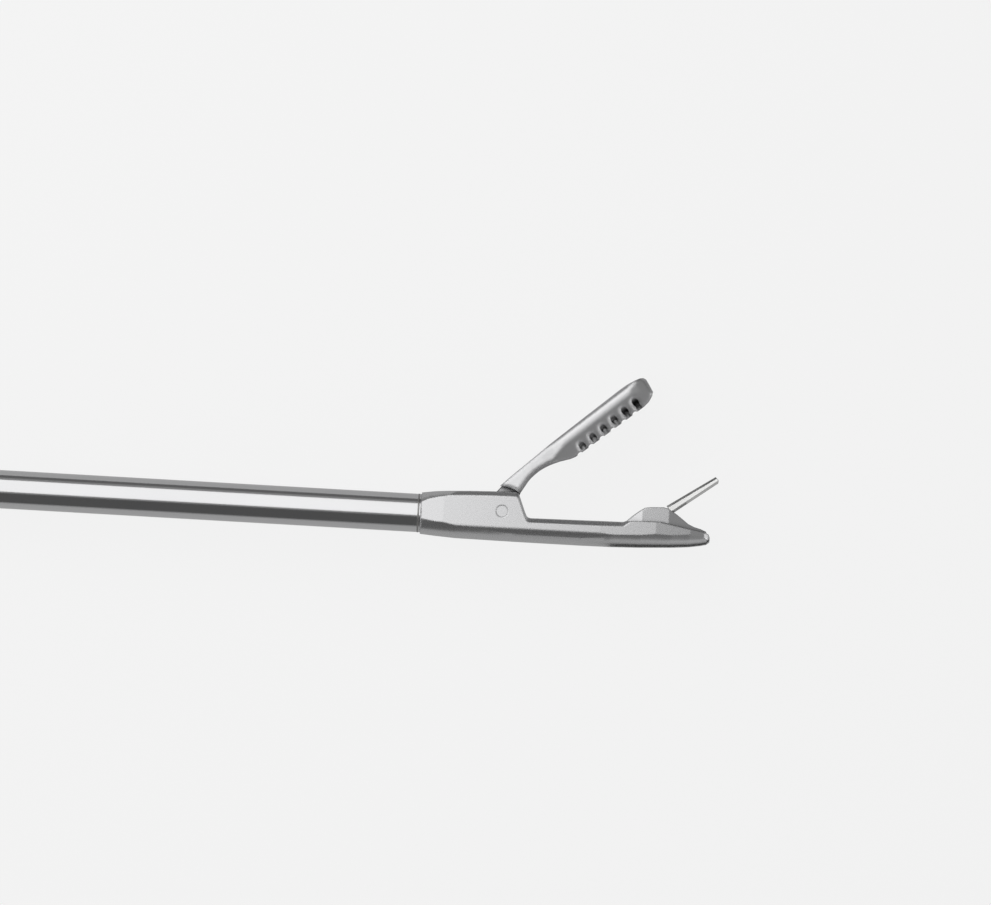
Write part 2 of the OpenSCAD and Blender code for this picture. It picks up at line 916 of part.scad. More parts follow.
module collar_screw() {
    color("gray")
        on_axis()
            translate([body_front + 6, 0, 0])
                pin_y(1.6, shaft_d / 2 + seat_gap, 4.6);
}

module end_plug() {
    color("lightgray")
        on_axis()
            translate([0, needle_rod_y, 0]) {
                pin_x(5 - 2 * seat_gap, body_back + 0.2, body_back + 5);
            }
}

// ---- Return spring ----

module spring_seat() {
    translate([spring_x, body_bottom, 0])
        pin_y(1.6 + 2 * seat_gap, -1, 3.2);
}

// Leaf that pushes the lever forward
module return_spring() {
    color("darkkhaki")
        on_axis()
            difference() {
                slab(-2, 2) {
                    translate([spring_x - 2.5, body_bottom - 0.81])
                        square([6.5, 0.8]);
                    bar([spring_x + 4, body_bottom - 0.41], [1.1, -26.5], 0.8);
                }
                translate([spring_x, body_bottom, 0])
                    pin_y(1.6 + 2 * seat_gap, -2, 2);
            }
}

module spring_screw() {
    color("gray")
        on_axis()
            translate([spring_x, body_bottom, 0]) {
                pin_y(1.6, -0.9, 3);
                pin_y(3.2, -1.8, -0.82);
            }
}

// ---- Needle and its drive ----

// Puts children where the level channel meets the slanted passage, X along the needle
module at_needle() {
    at_tip()
        translate([corner_x, needle_rod_y, 0])
            rotate(needle_angle)
                children();
}

// Outline, seen along the chamfers, of what they leave of the needle
module needle_bevels(reach, back_edge, front_edge) {
    polygon([
        [needle_back - 1, -back_edge], [reach + 1, -front_edge],
        [reach + 1, front_edge], [needle_back - 1, back_edge]
    ]);
}

// The straight end of the needle, thinner toward its end and chamfered on all four edges
module needle_tip() {
    reach = path_rise + needle_out;
    back_edge = (needle_t + needle_w - 2 * needle_bevel) / 2 / sqrt(2);
    front_edge = (needle_end_t + needle_w - 2 * needle_bevel) / 2 / sqrt(2);
    color("white")
        at_needle()
            intersection() {
                slab(-needle_w / 2, needle_w / 2)
                    polygon([
                        [needle_back, -needle_t / 2], [reach - 0.25, -needle_end_t / 2],
                        [reach, -needle_end_t / 2 + 0.3], [reach - 0.1, needle_end_t / 2],
                        [needle_back, needle_t / 2]
                    ]);
                rotate([45, 0, 0])
                    slab(-3, 3)
                        needle_bevels(reach, back_edge, front_edge);
                rotate([-45, 0, 0])
                    slab(-3, 3)
                        needle_bevels(reach, back_edge, front_edge);
            }
}

// The part of the strip that flexes as it follows the passage
module needle_bend() {
    start = corner_x - bend_run;
    color("whitesmoke") {
        at_tip()
            translate([start, needle_rod_y + bend_r, 0])
                rotate(-90)
                    rotate_extrude(angle = needle_angle)
                        translate([bend_r - strip_t / 2, -needle_w / 2])
                            square([strip_t, needle_w]);
        at_needle()
            translate([bend_run, -strip_t / 2, -needle_w / 2])
                cube([needle_back - bend_run, strip_t, needle_w]);
    }
}

module needle_strip() {
    color("whitesmoke")
        at_tip()
            translate([strip_start, needle_rod_y - strip_t / 2, -needle_w / 2])
                cube([corner_x - bend_run - strip_start, strip_t, needle_w]);
}

module needle_rod() {
    color("tan")
        at_tip()
            translate([0, needle_rod_y, 0])
                difference() {
                    pin_x(needle_rod_d, slide_from + 1 - tip_x, strip_start + 3);
                    translate([strip_start, -strip_t / 2, -2])
                        cube([4, strip_t, 4]);
                }
}

// Carriage in the handle; its neck rises through the window to the thumb pad
module needle_slider() {
    color("rosybrown")
        on_axis()
            difference() {
                union() {
                    slab(-pocket_half + run_gap, pocket_half - run_gap)
                        translate([slide_from, body_mid_y - 3])
                            square([slide_len, 7.2]);
                    slab(-neck_w / 2, neck_w / 2)
                        translate([slide_from + 3, 0])
                            square([neck_len, top_y + 0.2]);
                }
                translate([0, needle_rod_y, 0])
                    pin_x(needle_rod_d + 2 * seat_gap, slide_from + 1, 0);
                translate([slide_from + 3 + neck_len / 2, 0, 0])
                    pin_y(1.6 + 2 * seat_gap, top_y - 4.2, far);
                translate([slide_from + slide_len - 2, needle_rod_y, 0])
                    pin_z(1.6 + 2 * seat_gap, 0, far);
            }
}

module thumb_pad() {
    color("dimgray")
        on_axis()
            translate([slide_from + 3 + neck_len / 2, top_y + 0.2, 0])
                difference() {
                    plan(0, 3)
                        round_rect(14, 9, 2.5);
                    for (x = [-4:2:4])
                        translate([x, 3.4, 0])
                            pin_z(1.6, -far, far);
                    pin_y(1.6 + 2 * seat_gap, -1, 2.4 + seat_gap);
                }
}

module pad_screw() {
    color("gray")
        on_axis()
            translate([slide_from + 3 + neck_len / 2, 0, 0])
                pin_y(1.6, top_y - 4, top_y + 2.5);
}

module clamp_screw() {
    color("gray")
        on_axis()
            translate([slide_from + slide_len - 2, needle_rod_y, 0])
                pin_z(1.6, needle_rod_d / 2 + seat_gap, pocket_half - 0.3);
}

shaft_tube();
lower_jaw();
channel_cover();
jaw_pivot_pin();
upper_jaw();
jaw_link_pin();
jaw_rod();
rod_block();
cross_pin();
rod_guides();
needle_tip();
needle_bend();
needle_strip();
needle_rod();
needle_slider();
thumb_pad();
pad_screw();
clamp_screw();
handle_body();
handle_cover();
cover_screws();
nose_collar();
collar_screw();
jaw_lever();
lever_screw();
lever_washers();
return_spring();
spring_screw();
end_plug();
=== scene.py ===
"""Suture passer: materials, small surface details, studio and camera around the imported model."""
import math

import bmesh
import bpy
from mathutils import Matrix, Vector


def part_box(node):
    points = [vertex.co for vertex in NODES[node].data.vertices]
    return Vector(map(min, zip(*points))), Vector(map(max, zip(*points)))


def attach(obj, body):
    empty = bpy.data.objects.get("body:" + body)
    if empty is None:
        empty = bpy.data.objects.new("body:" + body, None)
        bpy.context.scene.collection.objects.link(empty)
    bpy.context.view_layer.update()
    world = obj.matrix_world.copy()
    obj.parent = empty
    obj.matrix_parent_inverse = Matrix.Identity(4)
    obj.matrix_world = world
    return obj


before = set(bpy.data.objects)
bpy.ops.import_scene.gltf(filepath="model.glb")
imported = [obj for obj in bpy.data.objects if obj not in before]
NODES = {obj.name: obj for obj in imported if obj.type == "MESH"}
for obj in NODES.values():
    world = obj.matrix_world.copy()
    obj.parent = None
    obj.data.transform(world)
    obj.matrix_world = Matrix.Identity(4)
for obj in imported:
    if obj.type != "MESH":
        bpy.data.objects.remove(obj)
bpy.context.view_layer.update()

bl_info = {
    "name": "Suture passer",
    "version": (1, 0, 0),
    "blender": (4, 5, 0),
    "location": "3D View > Sidebar > Passer",
    "description": "Finishes the suture passer and sets up its studio",
    "category": "Object",
}

MM = 0.001
# How far in mm from a wall the painted shade in a corner reaches
CORNER_REACH = 1.1
# Share of open sky, in a deep corner and out of it, between which the painted shade fades out
CORNER_DEEP = 0.3
CORNER_OPEN = 0.8
# Near-black colour that the painted shade in corners darkens the metal toward
CORNER_SHADE_COLOUR = "1C1C1C"
# Height of the shaft's axis over the floor, in mm
AXIS_HEIGHT = 6
# Weld bead in mm: middle radius of the ring, height of the scales, distance from the joint
BEAD_RADIUS = 2.245
BEAD_HEIGHT = 0.035
BEAD_SETBACK = 0.3
# The bead's corners round the tube and round its own section, and its number of scales
BEAD_TURNS = 96
BEAD_SECTION = 8
BEAD_SCALES = 30


# ---- Colours and materials ----

def from_hex(code):
    """Linear RGBA of an sRGB hex colour."""
    def linear(value):
        if value <= 0.04045:
            return value / 12.92
        return ((value + 0.055) / 1.055) ** 2.4
    parts = [int(code[i:i + 2], 16) / 255 for i in (0, 2, 4)]
    return (*[linear(part) for part in parts], 1.0)


def add_node(tree, kind, settings=None, inputs=None):
    """Adds a node, gives it its settings, and fills or links its inputs."""
    node = tree.nodes.new(kind)
    for name, value in (settings or {}).items():
        setattr(node, name, value)
    for name, value in (inputs or {}).items():
        socket = node.inputs[name]
        if isinstance(value, bpy.types.NodeSocket):
            tree.links.new(value, socket)
        else:
            socket.default_value = value
    return node


def new_material(name):
    material = bpy.data.materials.new(name)
    material.use_nodes = True
    material.node_tree.nodes.clear()
    return material, material.node_tree


def worked_steel(name, color, roughness, spread, grain, depth, edge, shade=0.0):
    """Metal with the marks of its working. grain is the mark's size along X, Y and Z in mm, depth
    the height of the marks in mm, edge the radius of the broken edges in mm, spread how far the
    roughness wanders and shade how dark the painted shade in deep corners is."""
    material, tree = new_material(name)
    place = add_node(tree, "ShaderNodeTexCoord")
    turn = add_node(tree, "ShaderNodeMapping", {}, {
        "Vector": place.outputs["Object"],
        "Scale": tuple(1 / (MM * size) for size in grain),
    })
    marks = add_node(tree, "ShaderNodeTexNoise", {}, {
        "Vector": turn.outputs["Vector"], "Scale": 1.0, "Detail": 3.0, "Roughness": 0.6,
    })
    cloud = add_node(tree, "ShaderNodeTexNoise", {}, {
        "Vector": place.outputs["Object"], "Scale": 1 / (MM * 7), "Detail": 2.0,
    })
    both = add_node(tree, "ShaderNodeMath", {"operation": "MULTIPLY_ADD"}, {
        0: cloud.outputs["Fac"], 1: 0.5,
    })
    tree.links.new(marks.outputs["Fac"], both.inputs[2])
    rough = add_node(tree, "ShaderNodeMapRange", {}, {
        "Value": both.outputs["Value"], "From Min": 0.35, "From Max": 1.15,
        "To Min": roughness - spread, "To Max": roughness + spread,
    })
    tone = add_node(tree, "ShaderNodeMixRGB", {"blend_type": "MIX"}, {
        "Fac": cloud.outputs["Fac"],
        "Color1": tuple(part * 0.94 for part in color[:3]) + (1.0,),
        "Color2": color,
    })
    # Painted shade: ambient occlusion darkens the metal's colour in corners and recesses, where
    # walls close in
    if shade:
        corner = add_node(tree, "ShaderNodeAmbientOcclusion", {"samples": 8}, {
            "Distance": CORNER_REACH * MM,
        })
        painted_shade = add_node(tree, "ShaderNodeMapRange", {}, {
            "Value": corner.outputs["AO"],
            "From Min": CORNER_DEEP, "From Max": CORNER_OPEN,
            "To Min": shade, "To Max": 0.0,
        })
        tone = add_node(tree, "ShaderNodeMixRGB", {"blend_type": "MIX"}, {
            "Fac": painted_shade.outputs["Result"], "Color1": tone.outputs["Color"],
            "Color2": from_hex(CORNER_SHADE_COLOUR),
        })
    edges = add_node(tree, "ShaderNodeBevel", {"samples": 6}, {"Radius": edge * MM})
    bump = add_node(tree, "ShaderNodeBump", {}, {
        "Strength": 1.0, "Distance": depth * MM, "Height": marks.outputs["Fac"],
        "Normal": edges.outputs["Normal"],
    })
    shader = add_node(tree, "ShaderNodeBsdfPrincipled", {}, {
        "Base Color": tone.outputs["Color"], "Metallic": 1.0,
        "Roughness": rough.outputs["Result"], "Normal": bump.outputs["Normal"],
    })
    add_node(tree, "ShaderNodeOutputMaterial", {}, {"Surface": shader.outputs["BSDF"]})
    return material


def moulded_plastic(name, color, roughness, grain, depth, edge):
    """Plastic with the fine skin of its mould."""
    material, tree = new_material(name)
    place = add_node(tree, "ShaderNodeTexCoord")
    skin = add_node(tree, "ShaderNodeTexNoise", {}, {
        "Vector": place.outputs["Object"], "Scale": 1 / (MM * grain), "Detail": 3.0,
    })
    rough = add_node(tree, "ShaderNodeMapRange", {}, {
        "Value": skin.outputs["Fac"], "To Min": roughness - 0.07, "To Max": roughness + 0.07,
    })
    tone = add_node(tree, "ShaderNodeMixRGB", {"blend_type": "MIX"}, {
        "Fac": skin.outputs["Fac"],
        "Color1": tuple(part * 0.88 for part in color[:3]) + (1.0,),
        "Color2": color,
    })
    edges = add_node(tree, "ShaderNodeBevel", {"samples": 4}, {"Radius": edge * MM})
    bump = add_node(tree, "ShaderNodeBump", {}, {
        "Strength": 1.0, "Distance": depth * MM, "Height": skin.outputs["Fac"],
        "Normal": edges.outputs["Normal"],
    })
    shader = add_node(tree, "ShaderNodeBsdfPrincipled", {}, {
        "Base Color": tone.outputs["Color"], "Roughness": rough.outputs["Result"],
        "IOR": 1.49, "Normal": bump.outputs["Normal"],
    })
    add_node(tree, "ShaderNodeOutputMaterial", {}, {"Surface": shader.outputs["BSDF"]})
    return material


def colours():
    return bpy.context.scene.passer_colours


def sizes():
    return bpy.context.scene.passer_sizes


def finish_nodes(names, material):
    """Gives CAD nodes their material."""
    for name in names:
        slots = NODES[name].material_slots
        if not slots:
            NODES[name].data.materials.append(material)
        for slot in slots:
            slot.material = material


def finished(name, build):
    """A material that is made once and then shared."""
    return bpy.data.materials.get(name) or build()


def polished_tube_steel():
    # Stainless tube, drawn and then polished: sharp bands of light, with faint marks that
    # run along the tube
    return finished("polished_stainless_tube", lambda: worked_steel(
        "polished_stainless_tube", tuple(colours().bright_steel), 0.13, 0.03,
        (9.0, 0.25, 0.25), 0.0006, sizes().edge_radius / MM))


def blasted_jaw_steel():
    # Stainless, milled and bead blasted: an even satin grey with broad soft highlights, and
    # painted shade in its corners and recesses
    return finished("blasted_stainless", lambda: worked_steel(
        "blasted_stainless", tuple(colours().jaw_steel), 0.27, 0.02,
        (0.12, 0.12, 0.12), 0.0006, 2 * sizes().edge_radius / MM, 0.6))


def buffed_jaw_steel():
    # The same stainless, buffed on the moving jaw: tighter highlights, small waves, and darker
    # painted shade in its corners and recesses
    return finished("buffed_stainless", lambda: worked_steel(
        "buffed_stainless", tuple(colours().jaw_steel), 0.22, 0.02,
        (0.3, 0.3, 0.3), 0.0006, 6 * sizes().edge_radius / MM, 0.9))


def blasted_pin_steel():
    # The pivot pin, ground off flush and blasted with the housing: no shine at its rim
    return finished("blasted_pin_steel", lambda: worked_steel(
        "blasted_pin_steel", tuple(colours().jaw_steel), 0.27, 0.02,
        (0.12, 0.12, 0.12), 0.0006, 0.02))


def ground_pin_steel():
    # Hardened pins and screws, ground: fine rings and a dull shine
    return finished("ground_pin_steel", lambda: worked_steel(
        "ground_pin_steel", tuple(colours().bright_steel), 0.22, 0.05,
        (0.2, 0.2, 0.2), 0.001, sizes().edge_radius / MM))


def drawn_rod_steel():
    # Drawn wire: long fine lines along the rod
    return finished("drawn_rod_steel", lambda: worked_steel(
        "drawn_rod_steel", tuple(colours().jaw_steel), 0.2, 0.04,
        (6.0, 0.15, 0.15), 0.001, 0.05))


def rolled_spring_steel():
    # Rolled spring strip, heat tempered: slightly dark and straw-grey
    return finished("rolled_spring_steel", lambda: worked_steel(
        "rolled_spring_steel", tuple(colours().spring_steel), 0.28, 0.06,
        (0.2, 2.0, 0.2), 0.001, 0.06))


def polished_needle_alloy():
    # Nickel-titanium strip, polished: nearly white where it faces the light
    return finished("polished_nitinol", lambda: worked_steel(
        "polished_nitinol", tuple(colours().needle_alloy), 0.12, 0.02,
        (1.5, 0.1, 0.1), 0.0004, 0.12))


def brushed_handle_steel():
    # Handle of stainless, brushed along its length: highlights drawn out across the lines
    return finished("brushed_handle_steel", lambda: worked_steel(
        "brushed_handle_steel", tuple(colours().handle_steel), 0.3, 0.07,
        (7.0, 0.18, 0.18), 0.003, sizes().edge_radius / MM))


def turned_collar_steel():
    # Turned on a lathe: fine rings round the axis
    return finished("turned_steel", lambda: worked_steel(
        "turned_steel", tuple(colours().bright_steel), 0.2, 0.05,
        (0.16, 5.0, 5.0), 0.002, sizes().edge_radius / MM))


def spring_washer_brass():
    # Rolled brass, dull from handling
    return finished("rolled_brass", lambda: worked_steel(
        "rolled_brass", tuple(colours().washer_brass), 0.3, 0.06,
        (0.3, 0.3, 0.3), 0.001, 0.05))


def guide_polymer():
    # Machined PTFE: waxy off-white with a soft sheen
    return finished("machined_ptfe", lambda: moulded_plastic(
        "machined_ptfe", tuple(colours().guide_plastic), 0.45, 0.5, 0.004, 0.1))


def pad_polymer():
    # Moulded PEEK-like thumb pad with a fine matt skin
    return finished("moulded_black_polymer", lambda: moulded_plastic(
        "moulded_black_polymer", tuple(colours().pad_plastic), 0.5, 0.35, 0.01, 0.25))


# ---- Sizes and colours that a user may change ----

def colour_property(name, description, code):
    return bpy.props.FloatVectorProperty(
        name=name, description=description, subtype="COLOR", size=4, min=0.0, max=1.0,
        default=from_hex(code))


class PasserSizes(bpy.types.PropertyGroup):
    edge_radius: bpy.props.FloatProperty(
        name="Edge radius", description="Radius of the broken edges of the steel pieces",
        default=0.00012, min=0.0, max=0.0004, precision=5, subtype="DISTANCE", unit="LENGTH")
    seam_width: bpy.props.FloatProperty(
        name="Weld seam width", description="Width of the weld between shaft and jaw housing",
        default=0.00022, min=0.0001, max=0.0006, precision=5, subtype="DISTANCE", unit="LENGTH")
    frame_width: bpy.props.FloatProperty(
        name="Picture width", description="Width that the camera sees at the shaft's height",
        default=0.1161, min=0.05, max=0.6, precision=4, subtype="DISTANCE", unit="LENGTH")
    camera_turn: bpy.props.FloatProperty(
        name="Camera turn", description="How far the camera is turned about its own axis",
        default=math.radians(3.26), min=-3.2, max=3.2, subtype="ANGLE", unit="ROTATION")
    floor_size: bpy.props.FloatProperty(
        name="Floor size", description="Side of the square floor",
        default=6.0, min=0.5, max=20.0, subtype="DISTANCE", unit="LENGTH")


class PasserColours(bpy.types.PropertyGroup):
    bright_steel: colour_property("Bright steel", "Polished stainless of shaft and pins", "CFCFD0")
    jaw_steel: colour_property("Jaw steel", "Satin stainless of the jaws", "CBCBCC")
    spring_steel: colour_property("Spring steel", "Rolled spring strip", "A9A7A2")
    needle_alloy: colour_property("Needle alloy", "Nickel-titanium of the needle", "DADAD9")
    handle_steel: colour_property("Handle steel", "Brushed stainless of the handle", "BFBFC1")
    washer_brass: colour_property("Washer brass", "Brass of the thin washers", "C9A96A")
    guide_plastic: colour_property("Guide plastic", "Plastic of the rod guides", "E6E4DC")
    pad_plastic: colour_property("Pad plastic", "Plastic of the thumb pad", "2A2A2C")
    backdrop: colour_property("Backdrop", "Pale floor and background", "F2F2F2")


# ---- Pieces ----

def mesh_piece(name, build, body, material, smooth=True):
    """Makes a mesh object from a bmesh that build fills, and rides it on its body."""
    mesh = bpy.data.meshes.new(name)
    work = bmesh.new()
    build(work)
    work.to_mesh(mesh)
    work.free()
    for face in mesh.polygons:
        face.use_smooth = smooth
    piece = bpy.data.objects.new(name, mesh)
    bpy.context.scene.collection.objects.link(piece)
    mesh.materials.append(material)
    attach(piece, body)
    return piece


def weld_material():
    # Laser weld, not polished after: small dark scales of heat tint
    return finished("laser_weld", lambda: worked_steel(
        "laser_weld", from_hex("9A9998"), 0.34, 0.08, (0.12, 0.12, 0.12), 0.006, 0.02))


class PASSER_OT_shaft(bpy.types.Operator):
    """Finishes the tube and lays the weld bead where it meets the jaw housing"""
    bl_idname = "passer.shaft"
    bl_label = "Shaft"

    def execute(self, context):
        finish_nodes(["shaft_tube"], polished_tube_steel())
        axis_z = AXIS_HEIGHT * MM
        joint_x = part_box("shaft_tube")[1][0]

        def bead(work):
            rings = []
            for i in range(BEAD_TURNS):
                angle = math.tau * i / BEAD_TURNS
                # The bead is a row of overlapping round spots
                ripple = 0.5 + 0.5 * abs(math.sin(angle * BEAD_SCALES / 2))
                across = sizes().seam_width * (0.7 + 0.3 * ripple)
                up = BEAD_HEIGHT * MM * ripple
                ring = []
                for k in range(BEAD_SECTION):
                    turn = math.tau * k / BEAD_SECTION
                    r = BEAD_RADIUS * MM + up * math.sin(turn)
                    ring.append(work.verts.new((
                        joint_x - BEAD_SETBACK * MM + across / 2 * math.cos(turn),
                        r * math.cos(angle), axis_z + r * math.sin(angle))))
                rings.append(ring)
            for i in range(BEAD_TURNS):
                a, b = rings[i], rings[(i + 1) % BEAD_TURNS]
                for k in range(BEAD_SECTION):
                    n = (k + 1) % BEAD_SECTION
                    work.faces.new((a[k], b[k], b[n], a[n]))
            bmesh.ops.recalc_face_normals(work, faces=work.faces)

        mesh_piece("weld_bead", bead, "handle", weld_material())
        return {"FINISHED"}


class PASSER_OT_lower_jaw(bpy.types.Operator):
    """Finishes the lower jaw with its cover and pivot pin"""
    bl_idname = "passer.lower_jaw"
    bl_label = "Lower jaw"

    def execute(self, context):
        finish_nodes(["lower_jaw", "channel_cover"], blasted_jaw_steel())
        finish_nodes(["jaw_pivot_pin"], blasted_pin_steel())
        return {"FINISHED"}


class PASSER_OT_upper_jaw(bpy.types.Operator):
    """Finishes the moving jaw and its link pin"""
    bl_idname = "passer.upper_jaw"
    bl_label = "Upper jaw"

    def execute(self, context):
        finish_nodes(["upper_jaw"], buffed_jaw_steel())
        finish_nodes(["jaw_link_pin"], ground_pin_steel())
        return {"FINISHED"}


class PASSER_OT_needle(bpy.types.Operator):
    """Finishes the needle, its flexible strip and its rod"""
    bl_idname = "passer.needle"
    bl_label = "Needle"

    def execute(self, context):
        finish_nodes(["needle_tip", "needle_bend", "needle_strip"], polished_needle_alloy())
        finish_nodes(["needle_rod"], drawn_rod_steel())
        return {"FINISHED"}


class PASSER_OT_drive(bpy.types.Operator):
    """Finishes the rod that works the jaw, its block and pin, and the guides in the tube"""
    bl_idname = "passer.drive"
    bl_label = "Jaw drive"

    def execute(self, context):
        finish_nodes(["jaw_rod"], drawn_rod_steel())
        finish_nodes(["rod_block", "cross_pin"], ground_pin_steel())
        finish_nodes(["rod_guides"], guide_polymer())
        return {"FINISHED"}


class PASSER_OT_slider(bpy.types.Operator):
    """Finishes the needle's slider, its thumb pad and screws"""
    bl_idname = "passer.slider"
    bl_label = "Slider"

    def execute(self, context):
        finish_nodes(["needle_slider"], brushed_handle_steel())
        finish_nodes(["thumb_pad"], pad_polymer())
        finish_nodes(["pad_screw", "clamp_screw"], ground_pin_steel())
        return {"FINISHED"}


class PASSER_OT_handle(bpy.types.Operator):
    """Finishes the handle body, its cover, collar, plug and screws"""
    bl_idname = "passer.handle"
    bl_label = "Handle"

    def execute(self, context):
        finish_nodes(["handle_body", "handle_cover"], brushed_handle_steel())
        finish_nodes(["nose_collar", "end_plug"], turned_collar_steel())
        finish_nodes(["cover_screws", "collar_screw"], ground_pin_steel())
        return {"FINISHED"}


class PASSER_OT_lever(bpy.types.Operator):
    """Finishes the lever with its screw, washers and return spring"""
    bl_idname = "passer.lever"
    bl_label = "Lever"

    def execute(self, context):
        finish_nodes(["jaw_lever"], brushed_handle_steel())
        finish_nodes(["lever_screw", "spring_screw"], ground_pin_steel())
        finish_nodes(["lever_washers"], spring_washer_brass())
        finish_nodes(["return_spring"], rolled_spring_steel())
        return {"FINISHED"}


# ---- Stage ----

PICTURE_CENTRE = Vector((0.204313, 0.007587, 0.006))
LENS_MM = 200.0
SENSOR_MM = 36.0
# Height of the level boxes, and the span along Y that they cover, in metres
BOX_HEIGHT = 0.206
BOX_Y = (-0.0435, 0.35)
# Radiance of the boxes and cards, where 1 is white
BOX_LEVEL = 1.08
TIP_LEVEL = 0.3
NEEDLE_LEVEL = 1.0
CLOTH_LEVEL = 0.11
STRIP_LEVEL = 0.16
PANEL_LEVEL = 0.6
# Level of the painted shadow sheet beside the nose
NOSE_SHADOW_LEVEL = 0.06
# Level of the world for everything but the camera
WORLD_LEVEL = 0.32
# The paper as the camera sees it: the share of even light in it, and that light's level
PAPER_SHARE = 0.92
PAPER_LEVEL = 1.028
# The paper as metal mirrors it: the share of even light, and its level by the handle and round the
# jaws, with the two places along X between which it changes. The lower level round the jaws is
# painted shadow on the paper, which only the metal shows
MIRROR_SHARE = 0.75
MIRROR_BY_HANDLE = 0.85
MIRROR_BY_JAWS = 0.5
MIRROR_FROM_X = -0.14
MIRROR_TO_X = -0.07


def glow(name, code, level):
    """An even emission."""
    material, tree = new_material(name)
    even = add_node(tree, "ShaderNodeEmission", {}, {"Color": from_hex(code), "Strength": level})
    add_node(tree, "ShaderNodeOutputMaterial", {}, {"Surface": even.outputs["Emission"]})
    return material


def quad(name, corners, material):
    """A card of the studio. Metal mirrors it, but neither the camera nor the paper sees it."""
    mesh = bpy.data.meshes.new(name)
    mesh.from_pydata(corners, [], [(0, 1, 2, 3)])
    mesh.materials.append(material)
    piece = bpy.data.objects.new(name, mesh)
    bpy.context.scene.collection.objects.link(piece)
    piece.visible_camera = False
    piece.visible_shadow = False
    piece.visible_diffuse = False
    return piece


def flat_box(name, along_x, along_y, height, level):
    """A level area lamp over the object, with that radiance. It isn't seen by the camera."""
    lamp = bpy.data.lights.new(name, "AREA")
    lamp.shape = "RECTANGLE"
    lamp.size = along_x[1] - along_x[0]
    lamp.size_y = along_y[1] - along_y[0]
    lamp.energy = level * math.pi * lamp.size * lamp.size_y
    holder = bpy.data.objects.new(name, lamp)
    bpy.context.scene.collection.objects.link(holder)
    holder.location = (sum(along_x) / 2, sum(along_y) / 2, height)
    holder.visible_camera = False
    return holder


def soft_box(name, centre, aim, width, height, power):
    """An area lamp that faces aim. It isn't seen by the camera."""
    lamp = bpy.data.lights.new(name, "AREA")
    lamp.shape = "RECTANGLE"
    lamp.size = width
    lamp.size_y = height
    lamp.energy = power
    holder = bpy.data.objects.new(name, lamp)
    bpy.context.scene.collection.objects.link(holder)
    holder.location = centre
    holder.rotation_mode = "QUATERNION"
    holder.rotation_quaternion = (aim - centre).to_track_quat("-Z", "Y")
    holder.visible_camera = False
    return holder


def toward(angle_y, angle_x, distance):
    """A point at that distance from the picture's centre. The angles lean from straight up
    toward +Y and +X, in degrees."""
    lean = Vector((math.tan(math.radians(angle_x)), math.tan(math.radians(angle_y)), 1.0))
    return PICTURE_CENTRE + lean.normalized() * distance


